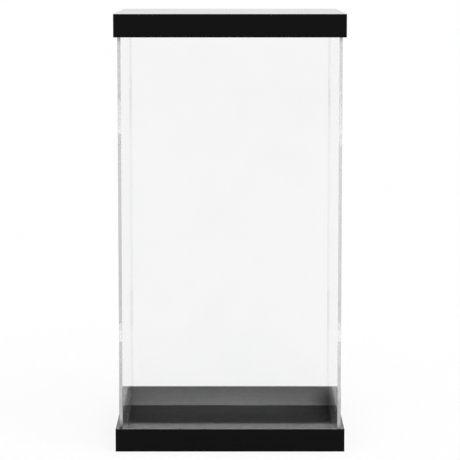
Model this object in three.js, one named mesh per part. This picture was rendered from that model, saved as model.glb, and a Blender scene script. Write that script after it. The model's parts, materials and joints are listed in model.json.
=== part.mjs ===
// Acrylic display case. Two black trays, one as the base and one turned over as the lid,
// hold a tall box of four clear panels whose upright edges are finger jointed.
// Millimetres, +Z up, front towards -Y, origin at the middle of the underside.
import * as THREE from "three";

// Outer size
const caseWidth = 200;
const caseDepth = 200;

// Black trays, whose plates are thinner sheet than their rims
const trayHeight = 20;
const rimSheet = 3;
const floorSheet = 2;

// Clear panels
const clearSheet = 3;
const panelHeight = 377;

// Finger joints: a tab near each end of every upright edge
const tabLength = 37.5;
const tabFromEnd = 73.5;

// Clearances: clear box to tray rim, and tab to notch
const rimClearance = 0.25;
const tabClearance = 0.15;

// Where the clear box stands, and where the lid rests on it
const panelBottom = floorSheet;
const panelTop = panelBottom + panelHeight;
const caseHeight = panelTop + floorSheet;

// Outer size of the clear box, inside both rims
const boxWidth = caseWidth - 2 * (rimSheet + rimClearance);
const boxDepth = caseDepth - 2 * (rimSheet + rimClearance);

// Lower end of each tab, above the foot of its panel
const tabStarts = [tabFromEnd, panelHeight - tabFromEnd - tabLength];

function blackAcrylic() {
  return new THREE.MeshStandardMaterial({ color: 0x151515, roughness: 0.15, metalness: 0 });
}

function clearAcrylic() {
  return new THREE.MeshStandardMaterial({
    color: 0xf2f5f5,
    roughness: 0.05,
    metalness: 0,
    transparent: true,
    opacity: 0.2,
  });
}

// A rectangular piece of black sheet, standing on the height given by bottom.
function blackPiece(name, size, centreX, centreY, bottom) {
  const piece = new THREE.Mesh(new THREE.BoxGeometry(size.x, size.y, size.z), blackAcrylic());
  piece.name = name;
  piece.position.set(centreX, centreY, bottom + size.z / 2);
  return piece;
}

// One tray: a plate let in between four rim strips. The front and back strips cover
// the ends of the side strips, so no joint shows from the front.
function tray(name, rimBottom, plateBottom) {
  const group = new THREE.Group();
  const insideWidth = caseWidth - 2 * rimSheet;
  const insideDepth = caseDepth - 2 * rimSheet;
  const plate = new THREE.Vector3(insideWidth, insideDepth, floorSheet);
  group.add(blackPiece(`${name}_plate`, plate, 0, 0, plateBottom));

  const longStrip = new THREE.Vector3(caseWidth, rimSheet, trayHeight);
  const stripY = (caseDepth - rimSheet) / 2;
  group.add(blackPiece(`${name}_rim_front`, longStrip, 0, -stripY, rimBottom));
  group.add(blackPiece(`${name}_rim_back`, longStrip, 0, stripY, rimBottom));

  const shortStrip = new THREE.Vector3(rimSheet, insideDepth, trayHeight);
  const stripX = (caseWidth - rimSheet) / 2;
  group.add(blackPiece(`${name}_rim_left`, shortStrip, -stripX, 0, rimBottom));
  group.add(blackPiece(`${name}_rim_right`, shortStrip, stripX, 0, rimBottom));
  return group;
}

// Outline of an upright panel: up its right edge, then down the left one, which mirrors it.
// Where reach is positive the steps are tabs, and where it is negative they are notches.
// Each step is longer than a tab by the slack at both of its ends.
function fingerOutline(halfWidth, reach, slack) {
  const rightEdge = [new THREE.Vector2(halfWidth, 0)];
  for (const start of tabStarts) {
    const low = start - slack;
    const high = start + tabLength + slack;
    rightEdge.push(new THREE.Vector2(halfWidth, low));
    rightEdge.push(new THREE.Vector2(halfWidth + reach, low));
    rightEdge.push(new THREE.Vector2(halfWidth + reach, high));
    rightEdge.push(new THREE.Vector2(halfWidth, high));
  }
  rightEdge.push(new THREE.Vector2(halfWidth, panelHeight));
  const leftEdge = rightEdge.map((point) => new THREE.Vector2(-point.x, point.y)).reverse();
  return new THREE.Shape([...rightEdge, ...leftEdge]);
}

// A clear panel with its outer face at the given distance from the middle of the case.
// It is made facing the front, and turned about the upright axis to face its own side.
function clearPanel(name, outline, outerDistance, turn) {
  const geometry = new THREE.ExtrudeGeometry(outline, { depth: clearSheet, bevelEnabled: false });
  geometry.rotateX(Math.PI / 2);
  const panel = new THREE.Mesh(geometry, clearAcrylic());
  panel.name = name;
  panel.position.set(0, clearSheet - outerDistance, panelBottom);

  const side = new THREE.Group();
  side.rotation.z = turn;
  side.add(panel);
  return side;
}

// The four panels. The tabs of the front and back panels fill the notches of the side
// panels and end flush with the side panels' outer faces.
function clearBox() {
  const group = new THREE.Group();
  const notchDepth = clearSheet + tabClearance;
  const tabbed = fingerOutline(boxWidth / 2 - notchDepth, notchDepth, 0);
  const notched = fingerOutline(boxDepth / 2, -notchDepth, tabClearance);
  group.add(clearPanel("front_panel", tabbed, boxDepth / 2, 0));
  group.add(clearPanel("right_panel", notched, boxWidth / 2, Math.PI / 2));
  group.add(clearPanel("back_panel", tabbed, boxDepth / 2, Math.PI));
  group.add(clearPanel("left_panel", notched, boxWidth / 2, -Math.PI / 2));
  return group;
}

const displayCase = new THREE.Group();
displayCase.name = "display_case";
displayCase.add(tray("base", 0, 0));
displayCase.add(clearBox());
displayCase.add(tray("lid", caseHeight - trayHeight, panelTop));

export default displayCase;
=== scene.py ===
import json
import math

import bmesh
import bpy
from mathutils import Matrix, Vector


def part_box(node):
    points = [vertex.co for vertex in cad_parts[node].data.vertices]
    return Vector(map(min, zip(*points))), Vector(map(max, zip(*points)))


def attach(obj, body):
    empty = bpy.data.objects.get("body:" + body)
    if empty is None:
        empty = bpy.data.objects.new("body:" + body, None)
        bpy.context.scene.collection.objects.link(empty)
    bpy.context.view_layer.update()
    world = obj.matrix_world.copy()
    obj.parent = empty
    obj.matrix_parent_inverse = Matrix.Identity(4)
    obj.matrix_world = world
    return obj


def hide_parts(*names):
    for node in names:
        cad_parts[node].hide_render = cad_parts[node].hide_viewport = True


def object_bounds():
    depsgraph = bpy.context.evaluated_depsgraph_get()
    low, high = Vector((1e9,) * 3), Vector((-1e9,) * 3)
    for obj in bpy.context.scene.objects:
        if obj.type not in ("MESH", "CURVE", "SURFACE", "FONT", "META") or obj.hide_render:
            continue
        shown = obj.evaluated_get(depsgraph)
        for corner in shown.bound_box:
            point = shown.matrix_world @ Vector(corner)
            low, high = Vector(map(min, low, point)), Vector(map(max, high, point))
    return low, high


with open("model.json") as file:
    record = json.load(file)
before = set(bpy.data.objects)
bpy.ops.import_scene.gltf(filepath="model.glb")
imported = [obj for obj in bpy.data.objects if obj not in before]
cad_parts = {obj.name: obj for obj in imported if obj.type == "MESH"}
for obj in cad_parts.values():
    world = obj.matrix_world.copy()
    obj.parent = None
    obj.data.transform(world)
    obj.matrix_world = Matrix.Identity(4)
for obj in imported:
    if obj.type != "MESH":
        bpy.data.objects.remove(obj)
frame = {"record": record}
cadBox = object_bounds()  # the CAD model's own box, before anything is added
scene = bpy.context.scene
mm = 0.001
caseMiddle = (cadBox[0] + cadBox[1]) / 2
print("frame loaded")


# Picking and editing

pickModes = {"edges": "EDGE", "faces": "FACE"}
sameWithin = 0.01 * mm  # places closer than this are one place


def selectOnly(obj):
    bpy.ops.object.select_all(action="DESELECT")
    obj.select_set(True)
    bpy.context.view_layer.objects.active = obj


def startEditing(obj):
    selectOnly(obj)
    bpy.ops.object.mode_set(mode="EDIT")


def stopEditing():
    bpy.ops.object.mode_set(mode="OBJECT")


def pick(obj, kind, test):
    # kind is edges or faces, and only those that pass the test end up picked
    bpy.ops.mesh.select_mode(type=pickModes[kind])
    bpy.ops.mesh.select_all(action="DESELECT")
    mesh = bmesh.from_edit_mesh(obj.data)
    for part in getattr(mesh, kind):
        if test(part):
            part.select_set(True)
    mesh.select_flush_mode()
    bmesh.update_edit_mesh(obj.data)


def finishPicked(obj, material):
    # the picked faces get one of the materials that the piece has
    obj.active_material_index = obj.data.materials.find(material.name)
    bpy.ops.object.material_slot_assign()


def near(a, b):
    return abs(a - b) < sameWithin


def edgeMiddle(edge):
    return (edge.verts[0].co + edge.verts[1].co) / 2


def looksAlong(face, axis):
    # either way along it
    return abs(getattr(face.normal, axis)) > 0.5


def applyPlace(obj):
    selectOnly(obj)
    bpy.ops.object.transform_apply(location=True, rotation=True, scale=True)


def applyModifiers(obj):
    selectOnly(obj)
    for modifier in list(obj.modifiers):
        bpy.ops.object.modifier_apply(modifier=modifier.name)


def turnedCopy(obj, name, axis, centre):
    # a copy with its own mesh, turned half round
    copy = obj.copy()
    copy.data = obj.data.copy()
    copy.name = name
    scene.collection.objects.link(copy)
    selectOnly(copy)
    bpy.ops.transform.rotate(value=math.pi, orient_axis=axis, center_override=centre)
    applyPlace(copy)
    return copy


def standFor(piece, node):
    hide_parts(node)
    for body, nodes in frame["record"]["behaviour"]["bodies"].items():
        if node in nodes:
            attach(piece, body)


# Node helpers

white = (1, 1, 1)
# a Mix node has sockets of the same name for numbers and colours, so these go by number
firstColour = 6
secondColour = 7
mixedColour = 2


def newMaterial(name):
    material = bpy.data.materials.new(name)
    material.use_nodes = True
    tree = material.node_tree
    return material, tree, tree.nodes["Principled BSDF"]


def addNode(tree, kind, **values):
    # each value goes to the socket of its name, or else is one of the node's own settings
    node = tree.nodes.new(kind)
    for name, value in values.items():
        if name in node.inputs:
            node.inputs[name].default_value = value
        else:
            setattr(node, name, value)
    return node


def objectSpace(tree, stretch=(1, 1, 1), turn=(0, 0, 0)):
    coords = addNode(tree, "ShaderNodeTexCoord")
    mapping = addNode(tree, "ShaderNodeMapping", Scale=stretch, Rotation=turn)
    tree.links.new(coords.outputs["Object"], mapping.inputs["Vector"])
    return mapping.outputs["Vector"]


def noise(tree, vector, scale, detail=2.0, roughness=0.5):
    node = addNode(tree, "ShaderNodeTexNoise", Scale=scale, Detail=detail, Roughness=roughness)
    tree.links.new(vector, node.inputs["Vector"])
    return node.outputs["Fac"]


def remap(tree, value, source, target=(0, 1)):
    # from the two limits of source to those of target, and held at them
    node = addNode(tree, "ShaderNodeMapRange")
    for name, limit in zip(("From Min", "From Max", "To Min", "To Max"), (*source, *target)):
        node.inputs[name].default_value = limit
    tree.links.new(value, node.inputs["Value"])
    return node.outputs["Result"]


def maths(tree, operation, first, second=None):
    node = addNode(tree, "ShaderNodeMath", operation=operation)
    for socket, value in zip(node.inputs, (first, second)):
        if isinstance(value, (int, float)):
            socket.default_value = value
        elif value is not None:
            tree.links.new(value, socket)
    return node.outputs["Value"]


def between(tree, value, low, high):
    # 1 between the two, 0 elsewhere
    above = maths(tree, "GREATER_THAN", value, low)
    return maths(tree, "MULTIPLY", above, maths(tree, "LESS_THAN", value, high))


def mixColours(tree, factor, first, second):
    node = addNode(tree, "ShaderNodeMix", data_type="RGBA")
    tree.links.new(factor, node.inputs["Factor"])
    for socket, colour in ((firstColour, first), (secondColour, second)):
        if isinstance(colour, tuple):
            node.inputs[socket].default_value = (*colour, 1)
        else:
            tree.links.new(colour, node.inputs[socket])
    return node.outputs[mixedColour]


def tinted(tree, colour, shade):
    node = addNode(tree, "ShaderNodeMix", data_type="RGBA", blend_type="MULTIPLY", Factor=1)
    tree.links.new(colour, node.inputs[firstColour])
    tree.links.new(shade, node.inputs[secondColour])
    return node.outputs[mixedColour]


def along(tree, vector, axis):
    split = addNode(tree, "ShaderNodeSeparateXYZ")
    tree.links.new(vector, split.inputs["Vector"])
    return split.outputs[axis]


def rightHalf(tree, space):
    # 1 on the right half of the case, 0 on the left
    return maths(tree, "GREATER_THAN", along(tree, space, "X"), 0)


def ramp(tree, value, stops):
    # grey by value, between stops that are each a value and its grey
    node = addNode(tree, "ShaderNodeValToRGB")
    low, high = stops[0][0], stops[-1][0]
    elements = node.color_ramp.elements
    for place, grey in stops[1:-1]:
        elements.new((place - low) / (high - low)).color = (grey, grey, grey, 1)
    for element, (place, grey) in ((elements[0], stops[0]), (elements[-1], stops[-1])):
        element.color = (grey, grey, grey, 1)
    tree.links.new(remap(tree, value, (low, high)), node.inputs["Fac"])
    return node.outputs["Color"]


def bump(tree, shader, height, strength, distance):
    node = addNode(tree, "ShaderNodeBump", Strength=strength, Distance=distance)
    tree.links.new(height, node.inputs["Height"])
    tree.links.new(node.outputs["Normal"], shader.inputs["Normal"])


# Scratches: long, thin and all one way, few and faint

scratchLook = {
    "stretch": (6, 900, 900),
    "from": 0.70,  # only the peaks of the noise are scratches
}


def hairlines(tree, turn, width):
    space = objectSpace(tree, stretch=scratchLook["stretch"], turn=turn)
    lines = noise(tree, space, 1.0, detail=1.0)
    return remap(tree, lines, (scratchLook["from"], scratchLook["from"] + width))


# Black sheet

blackLook = {
    "sheet": (0.0014, 0.0014, 0.0015),
    "worn": (0.0030, 0.0030, 0.0031),
    "dust": (0.030, 0.030, 0.029),
    "ior": 1.17,  # low, or it would mirror too much of the white room
    "cloudScale": 28,
    "speckScale": 2600,
    "speckRange": (0.77, 0.80),
    "smudgeRange": (0.35, 0.7),
    "rough": (0.075, 0.088),  # where clean and where smudged
    "scratchTurns": ((0.3, 0.2, 0.5), (1.1, 0.7, 2.0)),
    "scratchWidth": 0.04,
    "scratchRough": 0.05,
    "scratchDepth": 0.05,
    "rippleScale": 90,
    "ripple": (0.0015, 0.1 * mm),  # strength and distance of the bump
}


def blackAcrylic():
    material, tree, shader = newMaterial("blackAcrylic")
    space = objectSpace(tree)
    shader.inputs["IOR"].default_value = blackLook["ior"]
    cloud = noise(tree, space, blackLook["cloudScale"], detail=4)
    dust = noise(tree, space, blackLook["speckScale"], detail=1)
    specks = remap(tree, dust, blackLook["speckRange"])
    sheet = mixColours(tree, cloud, blackLook["sheet"], blackLook["worn"])
    colour = mixColours(tree, specks, sheet, blackLook["dust"])
    tree.links.new(colour, shader.inputs["Base Color"])
    oneWay, otherWay = [
        hairlines(tree, turn, blackLook["scratchWidth"]) for turn in blackLook["scratchTurns"]
    ]
    scratches = maths(tree, "ADD", oneWay, otherWay)
    smudges = remap(tree, cloud, blackLook["smudgeRange"], blackLook["rough"])
    scraped = maths(tree, "MULTIPLY", scratches, blackLook["scratchRough"])
    tree.links.new(maths(tree, "ADD", smudges, scraped), shader.inputs["Roughness"])
    ripple = noise(tree, space, blackLook["rippleScale"], detail=2)
    grooves = maths(tree, "MULTIPLY", scratches, blackLook["scratchDepth"])
    bump(tree, shader, maths(tree, "SUBTRACT", ripple, grooves), *blackLook["ripple"])
    return material


# Sawn lip of the rims, not as black as the polished faces

lipLook = {
    "sawn": (0.10, 0.10, 0.10),
    "scored": (0.065, 0.065, 0.065),
    "ior": 1.17,
    "markScale": 700,
    "markRange": (0.4, 0.65),
    "rough": (0.2, 0.3),
    "marks": (0.05, 0.1 * mm),  # strength and distance of the bump
}


def sawnLip():
    material, tree, shader = newMaterial("sawnLip")
    shader.inputs["IOR"].default_value = lipLook["ior"]
    marks = noise(tree, objectSpace(tree), lipLook["markScale"], detail=3, roughness=0.7)
    scored = remap(tree, marks, lipLook["markRange"])
    colour = mixColours(tree, scored, lipLook["sawn"], lipLook["scored"])
    tree.links.new(colour, shader.inputs["Base Color"])
    tree.links.new(remap(tree, marks, (0, 1), lipLook["rough"]), shader.inputs["Roughness"])
    bump(tree, shader, marks, *lipLook["marks"])
    return material


# Satin inside of the rims, painted paler towards the plate: painted light thrown up from the
# plate

satinLook = {
    "upper": (0.27, 0.27, 0.27),
    "lower": (0.45, 0.45, 0.45),
    "ior": 1.3,
    "hazeRange": (172 * mm, 188.5 * mm),  # up or down from the case's middle, lip to plate, over which the painted light from the plate grows
    "corner": 0.52,  # painted shadow, as if cast by the right-hand rim into the right-hand corners
    "cornerRange": (76 * mm, 91 * mm),
    "cornerDepth": 0.6,  # how far down the rim the painted shadow gets its full shade
    "grainScale": 260,
    "grainStretch": (1, 1, 4),
    "grainRange": (0.3, 0.7),
    "grainShade": (0.85, 1.1),
    "rough": (0.45, 0.65),
    "grain": (0.15, 0.2 * mm),  # strength and distance of the bump
}


def satinAcrylic():
    material, tree, shader = newMaterial("satinAcrylic")
    space = objectSpace(tree)
    shader.inputs["IOR"].default_value = satinLook["ior"]
    aboveMiddle = maths(tree, "SUBTRACT", along(tree, space, "Z"), caseMiddle.z)
    fromMiddle = maths(tree, "ABSOLUTE", aboveMiddle)
    depth = remap(tree, fromMiddle, satinLook["hazeRange"])
    # painted light: paler towards the plate, which throws light up onto the rim
    colour = mixColours(tree, depth, satinLook["upper"], satinLook["lower"])
    sideways = along(tree, space, "X")
    # painted shadow in the right-hand corners, strongest down by the plate
    paintedCornerShadow = remap(tree, sideways, satinLook["cornerRange"], (1, satinLook["corner"]))
    deepEnough = remap(tree, depth, (0, satinLook["cornerDepth"]))
    colour = tinted(tree, colour, mixColours(tree, deepEnough, white, paintedCornerShadow))
    grainSpace = objectSpace(tree, stretch=satinLook["grainStretch"])
    grain = noise(tree, grainSpace, satinLook["grainScale"], detail=4, roughness=0.7)
    shade = remap(tree, grain, satinLook["grainRange"], satinLook["grainShade"])
    tree.links.new(tinted(tree, colour, shade), shader.inputs["Base Color"])
    tree.links.new(remap(tree, grain, (0, 1), satinLook["rough"]), shader.inputs["Roughness"])
    bump(tree, shader, grain, *satinLook["grain"])
    return material


# Clear sheet

clearLook = {
    "sheet": (0.9595, 0.960, 0.960),
    "smudge": (0.947, 0.948, 0.948),
    "ior": 1.05,  # low, so that the sheets mirror next to nothing when seen square on
    "cloudScale": 16,
    "smudgeRange": (0.45, 0.75),
    "hazeRange": (0.45, 0.8),
    "rough": (0, 0.006),
    "scratchTurn": (0.2, 0.5, 1.3),
    "scratchWidth": 0.03,
    "scratchRough": 0.03,
    "seamBehind": 93.5 * mm,  # cement has run along the back corners
    "seamRange": (92.3 * mm, 93.0 * mm),
    "upTheSeam": (  # height in mm, and how clear the seam is there
        (0, 0.92), (72, 0.92), (80, 0.88), (112, 0.86), (117, 0.92), (265, 0.93), (290, 0.86),
        (312, 0.83), (320, 0.89), (381, 0.89),
    ),
}


def clearAcrylic():
    material, tree, shader = newMaterial("clearAcrylic")
    space = objectSpace(tree)
    shader.inputs["IOR"].default_value = clearLook["ior"]
    shader.inputs["Transmission Weight"].default_value = 1
    cloud = noise(tree, space, clearLook["cloudScale"], detail=5, roughness=0.6)
    smudges = remap(tree, cloud, clearLook["smudgeRange"])
    colour = mixColours(tree, smudges, clearLook["sheet"], clearLook["smudge"])
    sideways = maths(tree, "ABSOLUTE", along(tree, space, "X"))
    atCorner = remap(tree, sideways, clearLook["seamRange"])
    atBack = maths(tree, "GREATER_THAN", along(tree, space, "Y"), clearLook["seamBehind"])
    seam = maths(tree, "MULTIPLY", atCorner, atBack)
    height = maths(tree, "DIVIDE", along(tree, space, "Z"), mm)
    cemented = mixColours(tree, seam, white, ramp(tree, height, clearLook["upTheSeam"]))
    tree.links.new(tinted(tree, colour, cemented), shader.inputs["Base Color"])
    haze = remap(tree, cloud, clearLook["hazeRange"], clearLook["rough"])
    scratches = hairlines(tree, clearLook["scratchTurn"], clearLook["scratchWidth"])
    scraped = maths(tree, "MULTIPLY", scratches, clearLook["scratchRough"])
    tree.links.new(maths(tree, "ADD", haze, scraped), shader.inputs["Roughness"])
    return material


# Cut edges of the clear sheet: frosted at the front, nearly polished at the back

edgeLook = {
    "deep": (0.91, 0.91, 0.91),
    "bright": (0.995, 0.995, 0.995),
    # painted shade: the left half of the cut edges is darker, away from the light on the right
    "leftShade": (0.95, 0.95, 0.95),
    "ior": 1.49,
    "clearShare": (0.35, 0.45),  # on the left and on the right
    "footShare": 0.34,  # what is left of it at the foot
    "footRange": (50 * mm, 60 * mm),
    "wetShare": 0.8,  # where cement has run past the upper finger, further on the right
    "wetFrom": 305 * mm,
    "wetTo": (308 * mm, 314 * mm),  # on the left and on the right
    "stripeScale": 3500,
    "stripeStretch": (0.02, 0.02, 1),  # the cut leaves fine level lines
    "stripeRange": (0.3, 0.7),
    "rough": (0.10, 0.20),
    "stripes": (0.2, 0.1 * mm),  # strength and distance of the bump
    "backBody": 0.25,  # at the back more of the light goes straight through
    "fadeRange": (-80 * mm, 80 * mm),  # from front to back
    "upTheEdge": (  # height in mm, and how pale the cut is there, with painted shade under the lid at the top
        (50, 1.0), (60, 0.82), (74, 0.82), (116, 0.99), (127, 0.99), (131, 0.87), (160, 0.895),
        (195, 0.915), (225, 0.94), (266, 0.93), (304, 1.0), (309, 1.0), (312, 0.97), (358, 0.97),
        (361, 0.72),
    ),
    "rimTop": 20.3 * mm,
    "leftEnd": (28.6 * mm, 0.05),  # painted reflection of the rim's black: how far up it shows in the edge, and how dark
    "rightEnd": (24.5 * mm, 0.5),
}


def cutEdge():
    material, tree, shader = newMaterial("cutEdge")
    shader.inputs["IOR"].default_value = edgeLook["ior"]
    space = objectSpace(tree)
    height = along(tree, space, "Z")
    onRight = rightHalf(tree, space)
    atFoot = remap(tree, height, edgeLook["footRange"], (edgeLook["footShare"], 1))
    sideShare = remap(tree, onRight, (0, 1), edgeLook["clearShare"])
    clearness = maths(tree, "MULTIPLY", atFoot, sideShare)
    wetTop = remap(tree, onRight, (0, 1), edgeLook["wetTo"])
    wet = between(tree, height, edgeLook["wetFrom"], wetTop)
    wetness = maths(tree, "MULTIPLY", wet, edgeLook["wetShare"])
    clearer = maths(tree, "MAXIMUM", clearness, wetness)
    tree.links.new(clearer, shader.inputs["Transmission Weight"])
    stripeSpace = objectSpace(tree, stretch=edgeLook["stripeStretch"])
    stripes = noise(tree, stripeSpace, edgeLook["stripeScale"], detail=3, roughness=0.6)
    colour = mixColours(tree, stripes, edgeLook["deep"], edgeLook["bright"])
    # painted shade on the left half
    colour = tinted(tree, colour, mixColours(tree, onRight, edgeLook["leftShade"], white))
    # how pale the cut is by height, with painted shade at the top under the lid
    pale = ramp(tree, maths(tree, "DIVIDE", height, mm), edgeLook["upTheEdge"])
    # painted reflection of the black rims, darkening the edge just above them
    leftEnd, rightEnd = [
        remap(tree, height, (edgeLook["rimTop"], top), (darkest, 1))
        for top, darkest in (edgeLook["leftEnd"], edgeLook["rightEnd"])
    ]
    paintedRimReflection = mixColours(tree, onRight, leftEnd, rightEnd)
    tree.links.new(tinted(tree, tinted(tree, colour, pale), paintedRimReflection), shader.inputs["Base Color"])
    backwards = along(tree, space, "Y")
    body = remap(tree, backwards, edgeLook["fadeRange"], (1, edgeLook["backBody"]))
    tree.links.new(body, shader.inputs["Alpha"])
    roughness = remap(tree, stripes, edgeLook["stripeRange"], edgeLook["rough"])
    tree.links.new(roughness, shader.inputs["Roughness"])
    bump(tree, shader, stripes, *edgeLook["stripes"])
    return material


# Joint faces of the clear sheet, wetted by cement, though in front it left a dry stretch

jointLook = {
    "clearShare": 0.86,
    "ior": 1,  # cement fills the joint, so that nothing is mirrored in it
    "wet": (0.99, 0.99, 0.99),
    "dryLeft": (0.55, 0.55, 0.55),
    "dryRight": (0.66, 0.66, 0.66),
    "dryUpperRight": (0.83, 0.83, 0.83),
    "bubble": (0.91, 0.91, 0.91),
    "bubbleScale": 900,
    "bubbleRange": (0.12, 0.2),
    "rough": (0.02, 0.2),  # between the bubbles and in them
    "dryFrom": (70 * mm, 260 * mm),  # in the lower and in the upper finger
    "dryBelow": (96.3 * mm, 278.2 * mm),
    "wander": 0.2 * mm,  # how far the cement's end strays up and down
    "wanderScale": 800,
    "endShade": 0.9,  # painted shade on the fingers' ends, which face up or down
    "endRange": (0.4, 0.6),
}


def cementedJoint():
    material, tree, shader = newMaterial("cementedJoint")
    shader.inputs["IOR"].default_value = jointLook["ior"]
    shader.inputs["Transmission Weight"].default_value = jointLook["clearShare"]
    space = objectSpace(tree)
    cells = addNode(tree, "ShaderNodeTexVoronoi", Scale=jointLook["bubbleScale"])
    tree.links.new(space, cells.inputs["Vector"])
    bubbles = remap(tree, cells.outputs["Distance"], jointLook["bubbleRange"], (1, 0))
    wetted = mixColours(tree, bubbles, jointLook["wet"], jointLook["bubble"])
    height = along(tree, space, "Z")
    waves = noise(tree, space, jointLook["wanderScale"])
    wander = remap(tree, waves, (0, 1), (-jointLook["wander"], jointLook["wander"]))
    level = maths(tree, "ADD", height, wander)
    lowerDry, upperDry = [
        between(tree, level, low, high)
        for low, high in zip(jointLook["dryFrom"], jointLook["dryBelow"])
    ]
    dry = maths(tree, "ADD", lowerDry, upperDry)
    inFront = maths(tree, "LESS_THAN", along(tree, space, "Y"), 0)
    upper = maths(tree, "GREATER_THAN", height, caseMiddle.z)
    dryRight = mixColours(tree, upper, jointLook["dryRight"], jointLook["dryUpperRight"])
    dryColour = mixColours(tree, rightHalf(tree, space), jointLook["dryLeft"], dryRight)
    colour = mixColours(tree, maths(tree, "MULTIPLY", dry, inFront), wetted, dryColour)
    # painted shade on the faces that look up or down, the fingers' ends
    facing = addNode(tree, "ShaderNodeNewGeometry").outputs["True Normal"]
    upright = maths(tree, "ABSOLUTE", along(tree, facing, "Z"))
    endShade = remap(tree, upright, jointLook["endRange"], (1, jointLook["endShade"]))
    tree.links.new(tinted(tree, colour, endShade), shader.inputs["Base Color"])
    tree.links.new(remap(tree, bubbles, (0, 1), jointLook["rough"]), shader.inputs["Roughness"])
    return material


black = blackAcrylic()
satin = satinAcrylic()
lip = sawnLip()
clear = clearAcrylic()
cut = cutEdge()
joint = cementedJoint()
print("materials made")


# Trays: five black sheets each, with rounded and polished outer edges

trayCut = {
    "outerRound": 0.25 * mm,  # full width of the rounding on outer edges
    "innerShare": 0.6,  # of it on the rim's inner lip
    "jointShare": 0.2,  # of it where one sheet meets another on an outer face
    "steps": 4,
}
lidOfBase = {  # the lid is the base turned over, which swaps its front and back
    "base_plate": "lid_plate",
    "base_rim_front": "lid_rim_back",
    "base_rim_back": "lid_rim_front",
    "base_rim_left": "lid_rim_left",
    "base_rim_right": "lid_rim_right",
}


def trayPiece(node, trayLo, trayHi):
    lo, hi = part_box(node)
    bpy.ops.object.select_all(action="DESELECT")
    bpy.ops.mesh.primitive_cube_add(size=1, location=(lo + hi) / 2, scale=hi - lo)
    piece = bpy.context.active_object
    piece.name = node + "_sheet"
    applyPlace(piece)
    for material in (black, satin, lip):
        piece.data.materials.append(material)

    def planesMet(edge):
        # how many of the tray's outer planes the edge lies on
        middle = edgeMiddle(edge)
        return sum(near(middle[i], side[i]) for side in (trayLo, trayHi) for i in range(3))

    def atLip(place):
        return near(place.z, trayHi[2])

    def looksInwards(face):
        return face.normal.dot(face.calc_center_median() - caseMiddle) < 0

    startEditing(piece)
    pick(piece, "edges", lambda edge: planesMet(edge) >= 2)
    bpy.ops.transform.edge_bevelweight(value=1)
    pick(piece, "edges", lambda edge: planesMet(edge) == 1 and atLip(edgeMiddle(edge)))
    bpy.ops.transform.edge_bevelweight(value=trayCut["innerShare"])
    pick(piece, "edges", lambda edge: planesMet(edge) == 1 and not atLip(edgeMiddle(edge)))
    bpy.ops.transform.edge_bevelweight(value=trayCut["jointShare"])
    pick(piece, "faces", lambda face: not looksAlong(face, "z") and looksInwards(face))
    finishPicked(piece, satin)
    pick(piece, "faces", lambda face: looksAlong(face, "z") and atLip(face.calc_center_median()))
    finishPicked(piece, lip)
    stopEditing()

    rounding = piece.modifiers.new("rounding", "BEVEL")
    rounding.limit_method = "WEIGHT"
    rounding.width = trayCut["outerRound"]
    rounding.segments = trayCut["steps"]
    applyModifiers(piece)
    bpy.ops.object.shade_smooth()
    piece.modifiers.new("flat faces stay flat", "WEIGHTED_NORMAL")
    applyModifiers(piece)
    return piece


def makeTrays():
    boxes = [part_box(node) for node in lidOfBase]
    trayLo = [min(lo[i] for lo, hi in boxes) for i in range(3)]
    trayHi = [max(hi[i] for lo, hi in boxes) for i in range(3)]
    for node, above in lidOfBase.items():
        piece = trayPiece(node, trayLo, trayHi)
        turned = turnedCopy(piece, above + "_sheet", "X", caseMiddle)
        standFor(piece, node)
        standFor(turned, above)


makeTrays()
print("trays made")


# Clear panels: laser-cut sheets whose upright edges are finger jointed

panelCut = {
    "tabLength": 37.5 * mm,
    "tabFromEnd": 73.5 * mm,
    "tabClearance": 0.15 * mm,
    "flatWithin": 1,  # degrees, for faces that are merged into one
    "edgeRound": 0.12 * mm,  # the laser leaves the edges just broken
    "sharpAbove": 40,  # degrees, for edges that are broken
    "steps": 2,
}


def panelBlank(name, halfBody, outerFace, foot, head):
    # the panel's body as one upright face in its outer plane, before its fingers
    bpy.ops.object.select_all(action="DESELECT")
    bpy.ops.mesh.primitive_plane_add(
        size=1,
        location=(0, outerFace, (foot + head) / 2),
        rotation=(math.pi / 2, 0, 0),
    )
    blank = bpy.context.active_object
    blank.name = name
    blank.scale = (2 * halfBody, head - foot, 1)
    applyPlace(blank)
    for material in (clear, cut, joint):
        blank.data.materials.append(material)
    return blank


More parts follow.
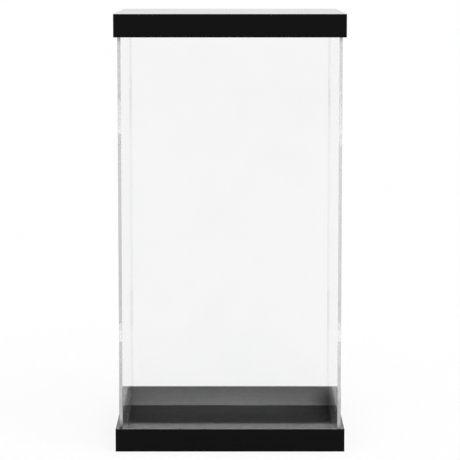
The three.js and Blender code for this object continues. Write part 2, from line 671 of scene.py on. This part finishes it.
def cutPanel(name, halfWidth, outerFace, sheet, foot, head, tabbed):
    # a tabbed panel has its fingers over the tab heights, a notched one has them elsewhere
    reach = sheet + panelCut["tabClearance"]
    slack = 0 if tabbed else panelCut["tabClearance"]
    lowTab = foot + panelCut["tabFromEnd"]
    highTab = head - panelCut["tabFromEnd"] - panelCut["tabLength"]
    tabs = [(start - slack, start + panelCut["tabLength"] + slack) for start in (lowTab, highTab)]
    halfBody = halfWidth - reach
    panel = panelBlank(name, halfBody, outerFace, foot, head)

    def isFinger(edge):
        middle = edgeMiddle(edge)
        inTab = any(low < middle.z < high for low, high in tabs)
        return near(abs(middle.x), halfBody) and inTab == tabbed

    def meetsOtherPanel(face):
        centre = face.calc_center_median()
        if looksAlong(face, "x"):
            return near(abs(centre.x), halfBody)
        return looksAlong(face, "z") and foot + reach < centre.z < head - reach

    startEditing(panel)
    for height in [limit for tab in tabs for limit in tab]:
        bpy.ops.mesh.select_all(action="SELECT")
        bpy.ops.mesh.bisect(plane_co=(0, 0, height), plane_no=(0, 0, 1))
    for side in (-1, 1):
        pick(panel, "edges", lambda edge: isFinger(edge) and edgeMiddle(edge).x * side > 0)
        bpy.ops.mesh.extrude_region_move(
            TRANSFORM_OT_translate={"value": (side * reach, 0, 0)}
        )
    bpy.ops.mesh.select_all(action="SELECT")
    bpy.ops.mesh.extrude_region_move(TRANSFORM_OT_translate={"value": (0, sheet, 0)})
    bpy.ops.mesh.select_all(action="SELECT")
    bpy.ops.mesh.normals_make_consistent(inside=False)
    bpy.ops.mesh.dissolve_limited(angle_limit=math.radians(panelCut["flatWithin"]))

    # cut all round, then wetted where the fingers meet the other panel
    pick(panel, "faces", lambda face: not looksAlong(face, "y"))
    finishPicked(panel, cut)
    pick(panel, "faces", meetsOtherPanel)
    finishPicked(panel, joint)
    stopEditing()

    broken = panel.modifiers.new("broken edges", "BEVEL")
    broken.limit_method = "ANGLE"
    broken.angle_limit = math.radians(panelCut["sharpAbove"])
    broken.width = panelCut["edgeRound"]
    broken.segments = panelCut["steps"]
    broken.material = panel.data.materials.find(clear.name)
    applyModifiers(panel)
    return panel


def makePanels():
    frontLo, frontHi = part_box("front_panel")
    rightLo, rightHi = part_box("right_panel")
    sheet = frontHi.y - frontLo.y
    foot, head = frontLo.z, frontHi.z
    front = cutPanel("front_panel_sheet", frontHi.x, frontLo.y, sheet, foot, head, True)
    back = turnedCopy(front, "back_panel_sheet", "Z", (0, 0, 0))
    right = cutPanel("right_panel_sheet", rightHi.y, -rightHi.x, sheet, foot, head, False)
    selectOnly(right)
    bpy.ops.transform.rotate(value=-math.pi / 2, orient_axis="Z", center_override=(0, 0, 0))
    applyPlace(right)
    left = turnedCopy(right, "left_panel_sheet", "Z", (0, 0, 0))
    for panel in (front, back, right, left):
        standFor(panel, panel.name.replace("_sheet", ""))


makePanels()
print("panels made")


# Floor, light and camera

studio = {
    "floorRadius": 12,
    "floorSides": 96,
    "floorDrop": 0.2 * mm,  # just under the case, so that the two faces don't share a plane
    "floorPaint": 0.15,
    "floorGlow": 0.85,  # brings the floor to white where no shadow falls
    "daylight": 0.5,  # what the surroundings give to matt surfaces
    "skylight": 1.7,  # a broad soft light from above, in front and to the right
    "skylightSpread": 60,
    "skylightTurn": (24, 12, 0),
    "bounces": 32,  # enough for light to pass through all the clear faces
    "mirrorBounces": 16,
}
lens = {
    "place": (0, -2.0365, 0.4292),
    "tilt": 6.890,  # degrees down from level
    "length": 176.69,
    "filmWidth": 36,
    "seesFrom": 0.05,
    "seesTo": 100,
}


def seenDirectly(tree):
    # 1 for what is seen, mirrored or seen through the clear sheet
    path = addNode(tree, "ShaderNodeLightPath")
    direct = maths(
        tree, "MAXIMUM", path.outputs["Is Camera Ray"], path.outputs["Is Glossy Ray"]
    )
    return maths(tree, "MAXIMUM", direct, path.outputs["Is Transmission Ray"])


def makeFloor():
    bpy.ops.object.select_all(action="DESELECT")
    bpy.ops.mesh.primitive_circle_add(
        vertices=studio["floorSides"],
        radius=studio["floorRadius"],
        fill_type="NGON",
        location=(0, 0, 0),
    )
    floor = bpy.context.active_object
    floor.name = "floor"
    material = bpy.data.materials.new("floorPaint")
    material.use_nodes = True
    tree = material.node_tree
    tree.nodes.clear()
    grey = studio["floorPaint"]
    paint = addNode(tree, "ShaderNodeBsdfDiffuse", Color=(grey, grey, grey, 1))
    glow = addNode(tree, "ShaderNodeEmission", Color=(*white, 1))
    glowing = maths(tree, "MULTIPLY", seenDirectly(tree), studio["floorGlow"])
    tree.links.new(glowing, glow.inputs["Strength"])
    both = addNode(tree, "ShaderNodeAddShader")
    tree.links.new(paint.outputs[0], both.inputs[0])
    tree.links.new(glow.outputs[0], both.inputs[1])
    output = addNode(tree, "ShaderNodeOutputMaterial")
    tree.links.new(both.outputs[0], output.inputs["Surface"])
    floor.data.materials.append(material)
    floor.location.z = -studio["floorDrop"]


def makeSurroundings():
    world = bpy.data.worlds.new("surroundings")
    world.use_nodes = True
    scene.world = world
    tree = world.node_tree
    background = tree.nodes["Background"]
    background.inputs["Color"].default_value = (*white, 1)
    strength = remap(tree, seenDirectly(tree), (0, 1), (studio["daylight"], 1))
    tree.links.new(strength, background.inputs["Strength"])


def makeSkylight():
    light = bpy.data.lights.new("skylight", "SUN")
    light.energy = studio["skylight"]
    light.angle = math.radians(studio["skylightSpread"])
    lamp = bpy.data.objects.new("skylight", light)
    scene.collection.objects.link(lamp)
    lamp.rotation_euler = [math.radians(turn) for turn in studio["skylightTurn"]]


def makeCamera():
    camera = bpy.data.objects.new("camera", bpy.data.cameras.new("camera"))
    scene.collection.objects.link(camera)
    camera.location = lens["place"]
    camera.rotation_euler = (math.radians(90 - lens["tilt"]), 0, 0)
    camera.data.lens = lens["length"]
    camera.data.sensor_width = lens["filmWidth"]
    camera.data.clip_start = lens["seesFrom"]
    camera.data.clip_end = lens["seesTo"]
    scene.camera = camera


makeFloor()
makeSurroundings()
makeSkylight()
makeCamera()
scene.view_settings.view_transform = "Standard"
scene.cycles.max_bounces = studio["bounces"]
scene.cycles.transmission_bounces = studio["bounces"]
scene.cycles.glossy_bounces = studio["mirrorBounces"]
print("floor, light and camera made")
